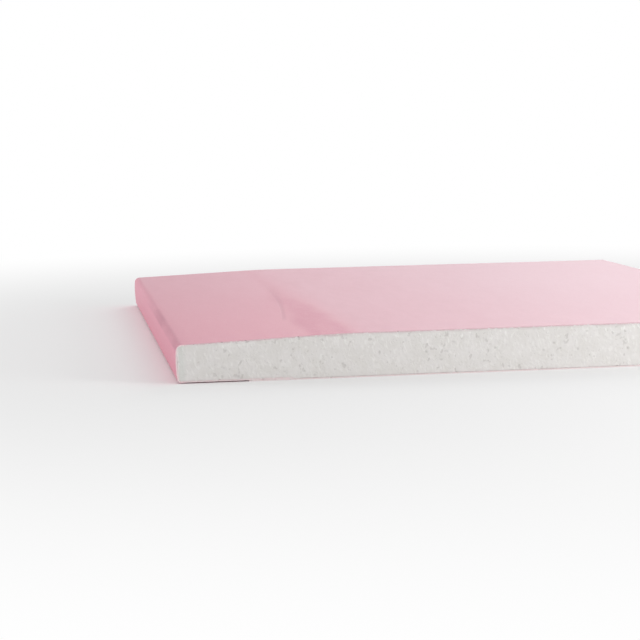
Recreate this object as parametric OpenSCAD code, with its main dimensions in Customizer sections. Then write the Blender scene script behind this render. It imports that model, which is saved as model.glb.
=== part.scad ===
// Cut piece of fire-resistant drywall, lying face up on a level floor.
// A gypsum core lies between two papers. The face paper covers the top, wraps the tapered factory edge
// on the left and folds under as a flap. The back paper laps over that flap. The other three sides are sawn.
// +X runs across the board from the factory edge, +Y along that edge, +Z up, in millimetres.
// The origin is the bottom centre of the piece.

/* [Piece] */
// Overall width, from the outermost point of the factory edge to the sawn side
piece_w = 186; // [120:1:1200]
// Length along the factory edge, between the two sawn ends
piece_l = 200; // [40:1:3000]
// Thickness of the board, both papers included
board_t = 12.5; // [9.5:0.5:19]

/* [Papers] */
// Thickness of the face paper
face_t = 0.4; // [0.3:0.05:0.6]
// Thickness of the back paper
back_t = 0.3; // [0.25:0.05:0.6]
// How far the folded flap of face paper reaches under the board
flap_w = 32; // [24:1:40]
// How far the back paper laps over the flap
lap_w = 12; // [6:1:18]

/* [Tapered factory edge] */
// Width of the taper, measured from the factory edge
taper_w = 48; // [42:1:70]
// How much thinner the board is at the factory edge than in the flat
taper_drop = 1.8; // [0.8:0.1:2.5]
// Length over which the taper blends into the flat face
knee_l = 14; // [4:1:24]
// Radius of the paper over the upper shoulder of the edge
shoulder_r = 1.8; // [1:0.1:2.5]
// Radius of the paper round the lower heel of the edge
heel_r = 1; // [0.8:0.1:2]
// Radius of the slight outward curve of the edge
side_r = 40; // [25:1:80]
// Height of the outermost point of the edge above the floor
crest_h = 6.5; // [5:0.1:7.5]

/* [Hidden] */

// Straight steps used to draw each arc of the edge
heel_steps = 6;
side_steps = 6;
shoulder_steps = 8;
knee_steps = 6;

// The flap and the taper
flap_z = back_t;
flap_top_z = flap_z + face_t;
taper_a = atan(taper_drop / taper_w);
taper_along = [cos(taper_a), sin(taper_a)];
taper_normal = [-sin(taper_a), cos(taper_a)];

// Centre of the outward curve, which touches x = 0 at the height of the crest
side_c = [side_r, crest_h];

// The heel touches the flap's underside and, from within, the outward curve
heel_z = flap_z + heel_r;
heel_c = [side_r - sqrt(pow(side_r - heel_r, 2) - pow(crest_h - heel_z, 2)), heel_z];
heel_a = 180 + asin((crest_h - heel_z) / (side_r - heel_r));

// The shoulder touches the taper and, from within, the outward curve
shoulder_from = [0, board_t - taper_drop] - shoulder_r * taper_normal - side_c;
shoulder_run = -shoulder_from * taper_along
             - sqrt(pow(shoulder_from * taper_along, 2) - shoulder_from * shoulder_from
                    + pow(side_r - shoulder_r, 2));
shoulder_c = side_c + shoulder_from + shoulder_run * taper_along;
shoulder_a = 180 - asin((shoulder_c[1] - crest_h) / (side_r - shoulder_r));

// The knee is an arc that touches the taper and the flat face
knee_r = knee_l / 2 / tan(taper_a / 2);
knee_c = [taper_w + knee_l / 2, board_t - knee_r];

// Points of an arc from angle a0 to angle a1
function arc(c, r, a0, a1, steps) =
    [for (i = [0:steps]) let (a = a0 + (a1 - a0) * i / steps) c + r * [cos(a), sin(a)]];

// The edge's outline at a depth under the outer face of the paper, from the heel up to the flat face
function edge_outline(depth) = concat(
    arc(heel_c, heel_r - depth, 270, heel_a, heel_steps),
    arc(side_c, side_r - depth, heel_a, shoulder_a, side_steps),
    arc(shoulder_c, shoulder_r - depth, shoulder_a, 90 + taper_a, shoulder_steps),
    arc(knee_c, knee_r - depth, 90 + taper_a, 90, knee_steps)
);

function reversed(points) = [for (i = [len(points) - 1:-1:0]) points[i]];

// A cross-section, drawn with x from the factory edge and y up, run along the whole piece
module along_the_board() {
    translate([-piece_w / 2, 0, 0])
        rotate([90, 0, 0])
            linear_extrude(height = piece_l, center = true)
                children();
}

// The core fills the wrap of the face paper and is recessed where the flap lies under it
module gypsum_core() {
    color([0.86, 0.86, 0.84])
        along_the_board()
            polygon(concat(
                [[flap_w, flap_top_z]],
                edge_outline(face_t),
                [[piece_w, board_t - face_t], [piece_w, back_t], [flap_w, back_t]]
            ));
}

// One sheet of paper over the face, round the factory edge and under it to the end of the flap
module face_paper() {
    color([0.90, 0.66, 0.71])
        along_the_board()
            polygon(concat(
                [[flap_w, flap_z]],
                edge_outline(0),
                [[piece_w, board_t], [piece_w, board_t - face_t]],
                reversed(edge_outline(face_t)),
                [[flap_w, flap_top_z]]
            ));
}

// A flat sheet of paper under the board, which laps over the flap and stops short of the factory edge
module back_paper() {
    color([0.84, 0.56, 0.63])
        along_the_board()
            translate([flap_w - lap_w, 0])
                square([piece_w - flap_w + lap_w, back_t]);
}

gypsum_core();
face_paper();
back_paper();
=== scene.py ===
# Looks of a cut piece of fire-resistant drywall: the sawn gypsum core, the pink face liner that wraps the
# factory edge, and the back liner under it, on a plain floor in soft studio light.
# Shapes are worked in millimetres and brought to metres when a piece is finished.
import math

import bmesh
import bpy
from mathutils import Matrix, Vector, noise


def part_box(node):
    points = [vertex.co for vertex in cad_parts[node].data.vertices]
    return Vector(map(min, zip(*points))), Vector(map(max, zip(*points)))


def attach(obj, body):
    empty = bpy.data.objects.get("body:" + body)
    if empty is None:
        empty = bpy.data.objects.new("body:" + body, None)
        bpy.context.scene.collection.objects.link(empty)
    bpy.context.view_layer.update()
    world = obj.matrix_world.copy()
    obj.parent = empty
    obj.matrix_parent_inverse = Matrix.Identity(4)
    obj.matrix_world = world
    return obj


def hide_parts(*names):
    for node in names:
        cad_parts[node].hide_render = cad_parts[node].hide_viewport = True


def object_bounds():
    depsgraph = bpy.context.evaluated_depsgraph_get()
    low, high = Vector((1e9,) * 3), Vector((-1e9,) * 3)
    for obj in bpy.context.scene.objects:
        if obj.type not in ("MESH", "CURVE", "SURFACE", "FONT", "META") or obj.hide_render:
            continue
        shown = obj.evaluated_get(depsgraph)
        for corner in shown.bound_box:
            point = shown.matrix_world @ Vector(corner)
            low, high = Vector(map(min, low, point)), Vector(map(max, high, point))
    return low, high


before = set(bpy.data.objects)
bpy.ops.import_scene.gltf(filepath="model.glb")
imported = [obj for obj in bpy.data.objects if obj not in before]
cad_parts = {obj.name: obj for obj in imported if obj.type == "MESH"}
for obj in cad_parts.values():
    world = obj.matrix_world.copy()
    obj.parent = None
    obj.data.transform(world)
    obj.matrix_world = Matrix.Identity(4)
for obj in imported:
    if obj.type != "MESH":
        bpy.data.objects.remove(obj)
cad_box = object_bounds()

MM = 0.001
TO_MM = 1 / MM
X = Vector((1, 0, 0))
Y = Vector((0, 1, 0))
Z = Vector((0, 0, 1))

# The board's sides and the thickness of its liners, in millimetres, read from the frame
low, high = (corner * TO_MM for corner in cad_box)
EDGE_X = low.x
SAWN_X = high.x
END_Y = high.y
FACE_Z = high.z
FACE_LINER = FACE_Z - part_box("gypsum_core")[1].z * TO_MM
BACK_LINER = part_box("back_paper")[1].z * TO_MM

# The taper ends at the knee, and the painted sheen on the flat face is full this far across
TAPER_WIDTH = 48.0
KNEE_X = EDGE_X + TAPER_WIDTH
FLAT_SHEEN_X = 60.0

# The fold and the thin crease beside the knee, both darkened with painted shade. The crease slants and bends
# along the board, and its run says where it starts, is full, weakens and ends
FOLD_X = KNEE_X - 4.8
CREASE_X = KNEE_X - 7.2
CREASE_SLANT = 0.054
CREASE_BEND = 0.00067
CREASE_RUN = (-67.0, -55.0, -20.0, 55.0)

# Heights between which the painted shade line over the rounded shoulder sets in
SHOULDER_Z = (8.4, 9.6)

# Nicks in the near cut edge of the face liner: their places, half their width and how steeply they go in
NICKS_X = (EDGE_X + 12.5, EDGE_X + 19.0, EDGE_X + 33.5)
NICK_REACH = 0.4
NICK_SLOPE = 1.2

# What the saw leaves on a cut face: depths in millimetres, and how fast each varies with place
SAW_SWAY = 0.12
SWAY_RATE = 0.035
GRAIN_DEPTH = 0.05
GRAIN_RATE = 1.3
CRUMBLE_DEPTH = 0.5
CRUMBLE_RATE = 0.11
PAPER_FRAY = 0.04
FRAY_RATE = 2.5

# Cut air bubbles lie about a step apart. Their least radius and what it grows by are shares of that step
BUBBLE_STEP = 2.3
BUBBLE_DEPTH = 0.2
LEAST_BUBBLE = 0.08
BUBBLE_SPREAD = 0.16
BUBBLE_LEAN = 0.45
WOBBLE_REACH = 0.35
WOBBLE_RATE = 1.7

# How far the face dips, and how fast that varies with place
FACE_SAG = 0.05
SAG_RATE = 0.022

# Steps of the meshes, the strip along a liner's cut edge and how many cuts each of its steps gets there, and
# how near the sawn side its section lies
SAWN_STEP = 0.25
SAWN_SIDE_STEP = 0.45
PAPER_STEP = 3.0
PAPER_CUT_MARGIN = 1.2
PAPER_EDGE_CUTS = 9
SECTION_ZONE = 2.0

# Points this near touch. A side of a section belongs to a notch where a corner lies this far outside it
TOUCH = 0.001
LEAST_NOTCH = 0.1

# The view of the photograph
CAMERA_PLACE = Vector((-127.96, -570.18, 72.92)) * MM
CAMERA_YAW = math.radians(9.028)
CAMERA_PITCH = math.radians(6.795)
CAMERA_ROLL = math.radians(-0.849)
CAMERA_LENS = 98.65
CAMERA_SENSOR = 36.0

# The strength of the world's light on the board, the floor's half width in metres, and how far from the
# board's middle, in millimetres, the floor starts to turn white and is white
WORLD_LIGHT = 0.69
FLOOR_REACH = 6.0
FLOOR_PLAIN = 130.0
FLOOR_WHITE = 380.0


class Value:
    """A number, colour or vector that varies over a surface. Sums and products of numbers add Math nodes."""

    def __init__(self, finish, socket):
        self.finish = finish
        self.socket = socket

    def __add__(self, other):
        return self.finish.math("ADD", self, other)

    def __sub__(self, other):
        return self.finish.math("SUBTRACT", self, other)

    def __rsub__(self, other):
        return self.finish.math("SUBTRACT", other, self)

    def __mul__(self, other):
        return self.finish.math("MULTIPLY", self, other)

    __radd__ = __add__
    __rmul__ = __mul__


class Finish:
    """The node tree of a material or of the world, built from Python expressions."""

    def __init__(self, tree):
        self.tree = tree
        tree.nodes.clear()

    def add(self, kind, settings=None, inputs=None, output=0):
        """Adds a node, with its settings first and then its sockets, and returns one of its outputs."""
        node = self.tree.nodes.new(kind)
        for name, setting in (settings or {}).items():
            setattr(node, name, setting)
        for name, given in (inputs or {}).items():
            if isinstance(given, Value):
                self.tree.links.new(given.socket, node.inputs[name])
            else:
                node.inputs[name].default_value = given
        return Value(self, node.outputs[output]) if len(node.outputs) else None

    def math(self, operation, first, second):
        return self.add("ShaderNodeMath", {"operation": operation}, {0: first, 1: second})

    def mix(self, share, first, second):
        """The first colour where share is 0 and the second where it is 1."""
        return self.add("ShaderNodeMix", {"data_type": "RGBA"}, {0: share, 6: first, 7: second}, 2)

    def place(self, stretch=(1, 1, 1), turn=(0, 0, 0), shift=(0, 0, 0)):
        """A point of the piece in millimetres. A pattern on it is drawn out, then turned and moved."""
        point = self.add("ShaderNodeTexCoord", output="Object")
        inputs = {
            "Vector": point,
            "Location": [part * MM for part in shift],
            "Rotation": turn,
            "Scale": [part * MM for part in stretch],
        }
        return self.add("ShaderNodeMapping", {"vector_type": "TEXTURE"}, inputs)

    def reach(self, axis):
        """How far along an axis a point of the piece is, in millimetres."""
        return self.add("ShaderNodeSeparateXYZ", None, {"Vector": self.place()}, axis)

    def attribute(self, name):
        """A number that the mesh holds at each of its points."""
        return self.add("ShaderNodeAttribute", {"attribute_name": name}, None, "Fac")

    def noise(self, point, size, detail=2.0, roughness=0.5):
        """Soft noise from 0 to 1 whose blotches are about that size, in millimetres."""
        inputs = {"Vector": point, "Scale": 1 / size, "Detail": detail, "Roughness": roughness}
        return self.add("ShaderNodeTexNoise", None, inputs)

    def ramp(self, value, start, stop, low_end=0.0, high_end=1.0):
        """Eases from low_end at start to high_end at stop."""
        inputs = {"Value": value, "From Min": start, "From Max": stop, "To Min": low_end, "To Max": high_end}
        return self.add("ShaderNodeMapRange", {"interpolation_type": "SMOOTHSTEP"}, inputs)

    def band(self, value, start, full, end, gone):
        """Rises from 0 at start to 1 at full, and falls from 1 at end to 0 at gone."""
        return self.ramp(value, start, full) * self.ramp(value, gone, end)

    def spots(self, point, size, detail, start, full):
        """Spots of about that size, in millimetres, which rise as the noise goes from start to full."""
        return self.ramp(self.noise(point, size, detail), start, full)

    def bump(self, height):
        """The normal of a surface raised by that height, in millimetres."""
        return self.add("ShaderNodeBump", None, {"Height": height, "Strength": 1.0, "Distance": MM})


def colour(red, green, blue):
    """A colour as a screen shows it, from 0 to 255, in the linear form that the nodes take."""
    parts = [part / 255 for part in (red, green, blue)]
    return [p / 12.92 if p <= 0.04045 else ((p + 0.055) / 1.055) ** 2.4 for p in parts] + [1.0]


def material(name, inputs_of):
    """A material whose one surface takes the sockets that inputs_of(finish) returns."""
    made = bpy.data.materials.new(name)
    made.use_nodes = True
    finish = Finish(made.node_tree)
    surface = finish.add("ShaderNodeBsdfPrincipled", None, inputs_of(finish))
    finish.add("ShaderNodeOutputMaterial", None, {"Surface": surface})
    return made


def sawn_gypsum(finish):
    """Grey-white foamed gypsum: cut air bubbles and pits darkened with painted shade, paler crumbs, short saw
    strokes and a fine grain.
    """
    point = finish.place()
    across = finish.reach("X")
    pore = finish.attribute("pore")
    pit = finish.spots(finish.place((1, 1, 1.3), (0, 0.5, 0), (3, 9, 4)), 1.5, 1.0, 0.34, 0.25)
    pinhole = finish.spots(finish.place((1.4, 1, 1), (0, 0.7, 0)), 0.6, 1.0, 0.36, 0.26)
    crumb = finish.spots(point, 1.6, 2.0, 0.54, 0.72)
    stroke = finish.spots(finish.place((0.6, 1, 1.7), (0, -0.3, 0)), 1.1, 1.5, 0.58, 0.74)
    under_face = finish.ramp(finish.reach("Z"), FACE_Z - 6.0, FACE_Z - 1.0, 0.3, 0.7)
    grain = finish.noise(point, 0.4)
    cloud = finish.noise(point, 4.0)
    # Next to the wrapped edge the gypsum is denser and darkened with painted shade under the liner's
    # overhang, and its rim is crushed
    dense_skin_and_shade = finish.band(across, EDGE_X + 0.7, EDGE_X + 1.1, EDGE_X + 1.7, EDGE_X + 3.2)
    crushed = finish.ramp(across, EDGE_X + 0.95, EDGE_X + 0.6)
    pit_shade = colour(178, 172, 170)
    tone = finish.mix(finish.ramp(cloud, 0.36, 0.64), colour(217, 214, 211), colour(221, 218, 216))
    tone = finish.mix(finish.ramp(grain, 0.3, 0.7, 0.0, 0.18), tone, colour(210, 207, 203))
    tone = finish.mix(crumb * 0.28, tone, colour(236, 234, 232))
    tone = finish.mix(stroke * under_face, tone, colour(236, 235, 232))
    # Painted shade darkens the pinholes, the pits and the cut air bubbles
    tone = finish.mix(pinhole * 0.1, tone, pit_shade)
    tone = finish.mix(pit * 0.34, tone, pit_shade)
    tone = finish.mix(pore * 0.42, tone, colour(164, 159, 157))
    tone = finish.mix(dense_skin_and_shade * 0.45, tone, colour(204, 207, 202))
    tone = finish.mix(crushed * 0.6, tone, colour(240, 234, 233))
    height = grain * 0.02 + crumb * 0.03 + stroke * 0.02 - pit * 0.06 - pinhole * 0.03
    return {"Base Color": tone, "Roughness": 0.92, "Specular IOR Level": 0.2, "Normal": finish.bump(height)}


def liner_paper(finish, base, shade, pale):
    """The colour, the height and the fibres of calendered paper, whose fibres mostly lie along the board."""
    fibre = finish.noise(finish.place((1, 9, 1)), 0.22, 3.0, 0.6)
    cross_fibre = finish.noise(finish.place((1, 7, 1), (0, 0, 0.5)), 0.3, 2.0, 0.6)
    cloud = finish.noise(finish.place((1, 4, 1)), 3.2, 3.0, 0.55)
    drift = finish.noise(finish.place((1, 4, 1)), 14.0, 1.5)
    fleck = finish.spots(finish.place((0.5, 3.5, 1), (0, 0, 0.4)), 0.8, 1.0, 0.73, 0.8)
    tone = finish.mix(finish.ramp(cloud, 0.32, 0.68), base, shade)
    tone = finish.mix(finish.ramp(fibre, 0.35, 0.7, 0.0, 0.2), tone, pale)
    tone = finish.mix(finish.ramp(cross_fibre, 0.55, 0.75, 0.0, 0.2), tone, pale)
    tone = finish.mix(finish.ramp(drift, 0.35, 0.65, 0.0, 0.1), tone, pale)
    tone = finish.mix(fleck * 0.3, tone, colour(160, 100, 116))
    height = fibre * 0.012 + cross_fibre * 0.008 + cloud * 0.02
    return tone, height, fibre


def crease_line(finish, across, along):
    """How much there is of the thin crease, which is softer on its right towards the far end."""
    from_crease = across + along * (along * CREASE_BEND - CREASE_SLANT) - CREASE_X
    soft_side = finish.ramp(along, -45.0, 30.0, 1.2, 4.0)
    return finish.band(from_crease, -0.7, -0.1, 0.2, soft_side) * finish.band(along, *CREASE_RUN)


def fold_shade(finish, across, along):
    """How much there is of the painted shade on the fold, which is wider and stronger near the cut end."""
    drift = (finish.noise(finish.place(), 22.0, 0.0) - 0.5) * 4.0
    from_fold = finish.math("ABSOLUTE", across + drift - FOLD_X, 0)
    half_width = finish.ramp(along, 50.0, -80.0, 2.0, 6.0)
    patchiness = finish.ramp(finish.noise(finish.place((1, 3, 1)), 5.0, 1.5), 0.3, 0.65, 0.65, 1.0)
    fade = finish.ramp(along, END_Y * 0.6, -END_Y * 0.8, 0.3, 1.0)
    return finish.ramp(from_fold - half_width, 2.5, -2.5) * patchiness * fade


def shoulder_shade(finish, across, along):
    """How much there is of the darker, ragged line of painted shade over the rounded shoulder, which fades
    along the board.
    """
    rounded = finish.ramp(across, EDGE_X + 2.4, EDGE_X + 0.9) * finish.ramp(finish.reach("Z"), *SHOULDER_Z)
    ragged = finish.ramp(finish.noise(finish.place((1, 7, 1)), 5.0, 1.0), 0.36, 0.6, 0.5, 1.0)
    return rounded * ragged * finish.ramp(along, END_Y * 0.4, -END_Y * 0.6, 0.15, 1.0)


def pink_face(finish):
    """The face liner, redder on the side and the taper with painted shade, and on the flat face a painted
    sheen, duller near the cut end and paler towards the far end."""
    base, shade, pale = colour(208, 144, 160), colour(205, 140, 156), colour(221, 171, 184)
    tone, height, fibre = liner_paper(finish, base, shade, pale)
    across = finish.reach("X")
    along = finish.reach("Y")
    crease = crease_line(finish, across, along)
    fold = fold_shade(finish, across, along)
    shoulder = shoulder_shade(finish, across, along)
    # How strong the painted shade on the taper and the side is, more near the cut end
    near_shade = finish.ramp(along, -END_Y, END_Y, 0.68, 0.2)
    taper = finish.ramp(across, KNEE_X + 9.0, KNEE_X - 6.0)
    side = finish.ramp(across, near_shade * 7.5 + (EDGE_X + 0.9), EDGE_X + 1.2)
    far = finish.ramp(along, -END_Y, END_Y * 0.4)
    # Painted sheen: from the knee across, the flat face turns duller near the cut end and paler towards the
    # far end
    flat = finish.mix(far, colour(195, 146, 160), colour(204, 161, 174))
    tone = finish.mix(finish.ramp(across, KNEE_X, FLAT_SHEEN_X, 0.0, 0.55), tone, flat)
    # Painted shade: the taper, which faces away from the lamps, is redder
    tone = finish.mix(taper * near_shade, tone, colour(214, 126, 147))
    # Painted shade darkens the fold
    tone = finish.mix(fold * 0.75, tone, colour(198, 104, 130))
    # Painted shade darkens the crease, which the bump also dents
    tone = finish.mix(crease * 0.3, tone, colour(172, 92, 114))
    # Painted shade: the side over the wrapped edge, and near the cut end a strip of the face beside it, are
    # redder
    tone = finish.mix(side * 0.8, tone, colour(207, 126, 147))
    # Painted shade darkens the line over the rounded shoulder
    tone = finish.mix(shoulder * 0.9, tone, colour(172, 86, 112))
    roughness = finish.ramp(fibre, 0.3, 0.7, 0.38, 0.46)
    return {"Base Color": tone, "Roughness": roughness, "Normal": finish.bump(height - crease * 0.05)}


def pink_back(finish):
    """The back liner, duller and rougher than the face."""
    base, shade, pale = colour(196, 130, 147), colour(188, 120, 138), colour(212, 162, 175)
    tone, height, fibre = liner_paper(finish, base, shade, pale)
    roughness = finish.ramp(fibre, 0.3, 0.7, 0.64, 0.72)
    return {"Base Color": tone, "Roughness": roughness, "Normal": finish.bump(height)}


def cut_liner(finish):
    """The section of a cut liner: dyed outer plies, paler inner ones, and gypsum dust smeared by the saw."""
    depth = finish.attribute("depth")
    fuzz = finish.noise(finish.place(), 0.18, 3.0, 0.6)
    smear = finish.noise(finish.place(), 0.9, 2.0, 0.6)
    edge = finish.ramp(finish.reach("X"), EDGE_X + 4.0, EDGE_X + 1.2)
    under = finish.ramp(finish.reach("Z"), 2.5, 1.5)
    dust = finish.ramp(depth + (smear - 0.5) * 4.5, 0.75, 1.05, 0.0, 0.9)
    dyed = finish.mix(under, colour(214, 180, 187), colour(222, 203, 205))
    dyed = finish.mix(edge, dyed, colour(230, 196, 202))
    undyed = finish.mix(under, colour(212, 197, 197), colour(226, 215, 214))
    undyed = finish.mix(edge, undyed, colour(238, 224, 223))
    tone = finish.mix(finish.ramp(depth + (fuzz - 0.5) * 0.6, 0.15, 0.75), dyed, undyed)
    tone = finish.mix(dust, tone, colour(222, 218, 216))
    height = fuzz * 0.05
    return {"Base Color": tone, "Roughness": 0.9, "Specular IOR Level": 0.2, "Normal": finish.bump(height)}


def shape_of(node):
    """A CAD node's own shape in millimetres, its corners merged and its flat faces whole."""
    bm = bmesh.new()
    bm.from_mesh(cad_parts[node].data)
    bmesh.ops.scale(bm, vec=(TO_MM,) * 3, verts=bm.verts)
    bmesh.ops.remove_doubles(bm, verts=bm.verts, dist=TOUCH)
    bmesh.ops.dissolve_limit(bm, angle_limit=math.radians(0.1), verts=bm.verts, edges=bm.edges)
    return bm


def whole(bm):
    return [*bm.verts, *bm.edges, *bm.faces]


def cut_across(bm, axis, places):
    """Cuts a shape by planes across an axis, at these places along it."""
    for at in places:
        bmesh.ops.bisect_plane(bm, geom=whole(bm), plane_co=axis * at, plane_no=axis)


def steps_between(start, stop, step):
    """Even places between two ends, about a step apart, without the ends."""
    count = max(1, round((stop - start) / step))
    return [start + (stop - start) * number / count for number in range(1, count)]


def on_end(place):
    return abs(place.y) > END_Y - TOUCH


def on_side(place):
    return place.x > SAWN_X - TOUCH


def near_face(place):
    return place.z > FACE_Z / 2


def sink(vert, depth):
    """Moves a point of a sawn face inwards, and says whether it was on one."""
    place = vert.co.copy()
    if on_end(place):
        vert.co.y -= math.copysign(depth, place.y)
    if on_side(place):
        vert.co.x -= depth
    return on_end(place) or on_side(place)


def saw_sway(place):
    """How far a sawn face wanders from its plane, in millimetres."""
    return SAW_SWAY * (1 + noise.noise(place * SWAY_RATE))


def wobble(place):
    """A soft shift from -1 to 1 along each axis, which turns over within a millimetre or so."""
    return Vector([noise.noise(place * WOBBLE_RATE + axis * 31) for axis in (X, Y, Z)])


def bubble(place):
    """How deep a bubble cut open by the saw is at a place, from 0 to 1 of the deepest."""
    slanted = place + X * (BUBBLE_LEAN * place.z) + wobble(place) * WOBBLE_REACH
    (distance, *_), (centre, *_) = noise.voronoi(slanted / BUBBLE_STEP)
    size = LEAST_BUBBLE + BUBBLE_SPREAD * abs(noise.cell(centre * 7.3)) ** 3
    return max(0.0, 1 - distance / size)


def crumbled(place):
    """How far the gypsum has crumbled from under the face liner at the cut, in millimetres."""
    under_liner = min(1.0, max(0.0, (place.z - FACE_Z + 1.3) / 0.7))
    along_cut = Vector((place.x, place.y, 0)) * CRUMBLE_RATE + Vector((4, 2, 7))
    return under_liner * max(0.0, noise.noise(along_cut)) * CRUMBLE_DEPTH


def gypsum_depth(place):
    """How far the gypsum lies behind a sawn face's plane, in millimetres, and how much of it is bubble."""
    pore = bubble(place)
    grain = GRAIN_DEPTH * (1 + noise.fractal(place * GRAIN_RATE, 0.6, 2.0, 3))
    depth = saw_sway(place) + max(0.0, grain) + BUBBLE_DEPTH * pore + crumbled(place)
    return depth, min(1.0, pore * 1.6)


def paper_depth(place):
    """How far the cut edge of a liner lies behind the plane of the sawn face, in millimetres."""
    nick = max(0.0, noise.noise(place * 0.9 + Vector((5, 1, 3))) - 0.45)
    if place.y < 0 and near_face(place):
        nick += max(0.0, max(NICK_REACH - abs(place.x - middle) for middle in NICKS_X))
    fray = PAPER_FRAY * noise.noise(place * FRAY_RATE)
    return max(0.0, saw_sway(place) - PAPER_FRAY + fray + NICK_SLOPE * nick)


def sheet_sag(place):
    """How far the face dips under its true height, in millimetres."""
    return FACE_SAG * (1 + noise.noise(place * SAG_RATE)) if near_face(place) else 0.0


def finished(bm, name, node, materials):
    """Makes the shape an object in metres that stands for a CAD node."""
    bmesh.ops.scale(bm, vec=(MM,) * 3, verts=bm.verts)
    mesh = bpy.data.meshes.new(name)
    bm.to_mesh(mesh)
    bm.free()
    for made in materials:
        mesh.materials.append(made)
    piece = bpy.data.objects.new(name, mesh)
    bpy.context.scene.collection.objects.link(piece)
    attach(piece, "root")
    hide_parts(node)


def section_grid(section):
    """A fine upright grid with the outline of a section. One inner corner of the outline makes a notch."""
    left, right = (pick(corner.x for corner in section) for pick in (min, max))
    bottom, top = (pick(corner.z for corner in section) for pick in (min, max))
    bm = bmesh.new()
    columns = round((right - left) / SAWN_STEP)
    rows = round((top - bottom) / SAWN_STEP)
    centre = Vector(((left + right) / 2, -END_Y, (bottom + top) / 2))
    stretch = Matrix.Diagonal(((right - left) / 2, 1, (top - bottom) / 2, 1))
    upright = Matrix.Translation(centre) @ stretch @ Matrix.Rotation(math.pi / 2, 4, "X")
    bmesh.ops.create_grid(bm, x_segments=columns, y_segments=rows, size=1.0, matrix=upright)
    notches = []
    for corner, following in zip(section, section[1:] + section[:1]):
        outwards = Y.cross(following - corner).normalized()
        if all((other - corner).dot(outwards) < LEAST_NOTCH for other in section):
            bmesh.ops.bisect_plane(
                bm, geom=whole(bm), dist=TOUCH / 10, plane_co=corner, plane_no=outwards, clear_outer=True
            )
        else:
            notches += [corner, following]
    inner = next(corner for corner in notches if notches.count(corner) == 2)
    cut_across(bm, X, [inner.x])
    cut_across(bm, Z, [inner.z])
    middles = [(face, face.calc_center_median()) for face in bm.faces]
    gone = [face for face, middle in middles if middle.x < inner.x and middle.z < inner.z]
    bmesh.ops.delete(bm, geom=gone, context="FACES")
    return bm


def make_core():
    """The core, drawn out along the board from a fine grid of its section, with its sawn faces roughened."""
    cad = shape_of("gypsum_core")
    near_end = next(face for face in cad.faces if face.normal.dot(-Y) > 0.999)
    section = [vert.co.copy() for vert in near_end.verts]
    cad.free()
    bm = section_grid(section)
    drawn = bmesh.ops.extrude_face_region(bm, geom=bm.faces[:], use_keep_orig=True)
    moved = [part for part in drawn["geom"] if isinstance(part, bmesh.types.BMVert)]
    bmesh.ops.translate(bm, vec=Y * (2 * END_Y), verts=moved)
    long_edges = [edge for edge in bm.edges if edge.calc_length() > END_Y]
    side = [edge for edge in long_edges if all(on_side(vert.co) for vert in edge.verts)]
    bmesh.ops.subdivide_edges(bm, edges=side, cuts=round(2 * END_Y / SAWN_SIDE_STEP), use_grid_fill=True)
    bmesh.ops.recalc_face_normals(bm, faces=bm.faces)
    pore_layer = bm.verts.layers.float.new("pore")
    for vert in bm.verts:
        depth, pore = gypsum_depth(vert.co)
        vert[pore_layer] = pore if sink(vert, depth) else 0.0
    for face in bm.faces:
        face.smooth = face.calc_area() < 1
    finished(bm, "sawn_gypsum_core", "gypsum_core", [material("sawn_gypsum", sawn_gypsum)])


def along_cut_edge(edge):
    """Whether an edge of a liner lies along a sawn end or the sawn side."""
    places = [vert.co for vert in edge.verts]
    return all(on_end(place) for place in places) or all(on_side(place) for place in places)


def in_section(face):
    """Whether a face of a liner belongs to its cut section."""
    on_right = face.normal.x > 0.6 and face.calc_center_median().x > SAWN_X - SECTION_ZONE
    return on_right or abs(face.normal.y) > 0.6


def wraps(bm, face):
    """Whether a face is on the outside of the liner that wraps the board."""
    behind = all((vert.co - face.verts[0].co).dot(face.normal) < TOUCH for vert in bm.verts)
    return behind and abs(face.normal.y) < 0.9 and face.normal.x < 0.9


def underneath(bm, face):
    """Whether a face is on the underside of the liner on the board's back."""
    return face.normal.z < -0.9


def make_liner(name, node, thickness, is_outer, outer):
    """A liner, grown inwards from the outer faces of its CAD solid, with a sawn edge on the cut sides."""
    bm = shape_of(node)
    inner = [face for face in bm.faces if not is_outer(bm, face)]
    bmesh.ops.delete(bm, geom=inner, context="FACES")
    left = min(vert.co.x for vert in bm.verts)
    cut_across(bm, X, steps_between(left, SAWN_X, PAPER_STEP) + [SAWN_X - PAPER_CUT_MARGIN])
    strip = END_Y - PAPER_CUT_MARGIN
    cut_across(bm, Y, steps_between(-END_Y, END_Y, PAPER_STEP) + [-strip, strip])
    rim = [edge for edge in bm.edges if edge.is_boundary and edge.calc_length() > 1]
    sawn = [edge for edge in rim if along_cut_edge(edge)]
    bmesh.ops.subdivide_edges(bm, edges=sawn, cuts=PAPER_EDGE_CUTS)
    for vert in bm.verts:
        place = vert.co.copy()
        sink(vert, paper_depth(place))
        vert.co.z -= sheet_sag(place)
    depth_layer = bm.verts.layers.float.new("depth")
    outside = set(bm.verts)
    bmesh.ops.solidify(bm, geom=bm.faces[:], thickness=thickness)
    for vert in bm.verts:
        vert[depth_layer] = 0.0 if vert in outside else 1.0
    bmesh.ops.recalc_face_normals(bm, faces=bm.faces)
    for face in bm.faces:
        face.material_index = 1 if in_section(face) else 0
        face.smooth = face.material_index == 0
    for edge in bm.edges:
        edge.smooth = len({face.material_index for face in edge.link_faces}) == 1
    finished(bm, name, node, [outer, material(name + "_cut", cut_liner)])


def add_camera():
    camera = bpy.data.cameras.new("camera")
    camera.lens = CAMERA_LENS
    camera.sensor_width = CAMERA_SENSOR
    holder = bpy.data.objects.new("camera", camera)
    turn = Matrix.Rotation(-CAMERA_YAW, 4, "Z") @ Matrix.Rotation(math.pi / 2 - CAMERA_PITCH, 4, "X")
    holder.matrix_world = Matrix.Translation(CAMERA_PLACE) @ turn @ Matrix.Rotation(CAMERA_ROLL, 4, "Z")
    bpy.context.scene.collection.objects.link(holder)
    bpy.context.scene.camera = holder


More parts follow.
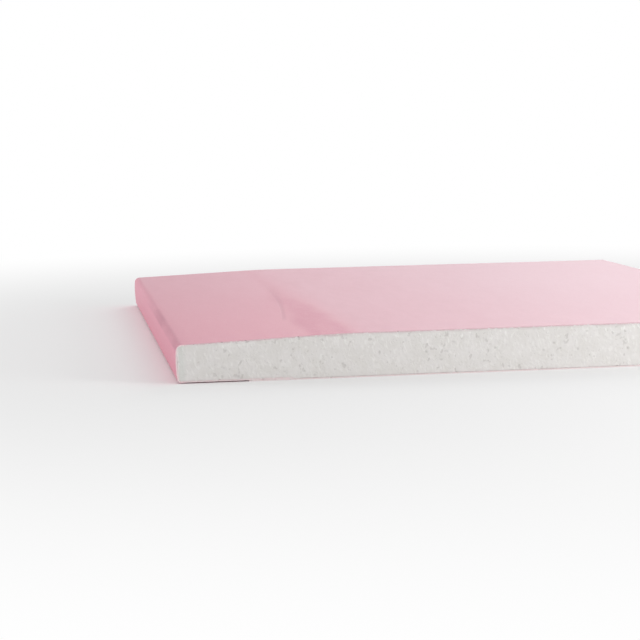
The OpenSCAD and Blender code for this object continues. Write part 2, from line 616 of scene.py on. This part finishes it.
def add_floor():
    """A plain white floor that keeps the shadow and turns to the backdrop's white far away."""
    made = bpy.data.materials.new("floor")
    made.use_nodes = True
    finish = Finish(made.node_tree)
    reach = finish.add("ShaderNodeVectorMath", {"operation": "LENGTH"}, {0: finish.place()}, "Value")
    far = finish.ramp(reach, FLOOR_PLAIN, FLOOR_WHITE)
    plain = finish.add("ShaderNodeBsdfDiffuse", None, {"Color": colour(250, 250, 250)})
    white = finish.add("ShaderNodeEmission", None, {"Color": (1, 1, 1, 1), "Strength": 1.0})
    surface = finish.add("ShaderNodeMixShader", None, {0: far, 1: plain, 2: white})
    finish.add("ShaderNodeOutputMaterial", None, {"Surface": surface})
    bm = bmesh.new()
    bmesh.ops.create_grid(bm, x_segments=1, y_segments=1, size=FLOOR_REACH)
    mesh = bpy.data.meshes.new("floor")
    bm.to_mesh(mesh)
    bm.free()
    mesh.materials.append(made)
    floor = bpy.data.objects.new("floor", mesh)
    bpy.context.scene.collection.objects.link(floor)


def add_world():
    """Even white light, and a backdrop that shows as pure white, in gloss too."""
    world = bpy.data.worlds.new("studio")
    bpy.context.scene.world = world
    world.use_nodes = True
    finish = Finish(world.node_tree)
    rays = ("Is Camera Ray", "Is Glossy Ray", "Is Transmission Ray")
    seen = sum(finish.add("ShaderNodeLightPath", output=ray) for ray in rays)
    strength = finish.ramp(seen, 0.0, 1.0, WORLD_LIGHT, 1.0)
    light = finish.add("ShaderNodeBackground", None, {"Color": (1, 1, 1, 1), "Strength": strength})
    finish.add("ShaderNodeOutputWorld", None, {"Surface": light})


def add_lamp(name, azimuth, elevation, reach, size, power, glares=True):
    """A soft elliptic lamp aimed at the board. Its azimuth goes from straight behind the board towards +X.
    Angles are in degrees, lengths in metres and power in watts. Only a lamp that glares is seen in gloss."""
    lamp = bpy.data.lights.new(name, "AREA")
    lamp.shape = "ELLIPSE"
    lamp.size, lamp.size_y = size
    lamp.energy = power
    around, up = math.radians(azimuth), math.radians(elevation)
    place = Vector((math.sin(around) * math.cos(up), math.cos(around) * math.cos(up), math.sin(up)))
    holder = bpy.data.objects.new(name, lamp)
    holder.location = place * reach
    holder.rotation_mode = "QUATERNION"
    holder.rotation_quaternion = place.to_track_quat("Z", "Y")
    holder.visible_glossy = glares
    bpy.context.scene.collection.objects.link(holder)


bpy.context.scene.view_settings.view_transform = "Standard"
add_camera()
add_world()
add_lamp("high_window", azimuth=28, elevation=28, reach=1.6, size=(0.7, 0.7), power=2.5)
add_lamp("low_window", azimuth=24, elevation=14, reach=1.6, size=(1.3, 0.45), power=1.4)
add_lamp("front_fill", azimuth=134, elevation=10, reach=0.42, size=(0.22, 0.22), power=0.82, glares=False)
add_lamp("left_fill", azimuth=-75, elevation=10, reach=1.6, size=(0.5, 0.5), power=7.3, glares=False)
add_floor()
make_core()
make_liner("face_liner", "face_paper", FACE_LINER, wraps, material("pink_face", pink_face))
make_liner("back_liner", "back_paper", BACK_LINER, underneath, material("pink_back", pink_back))
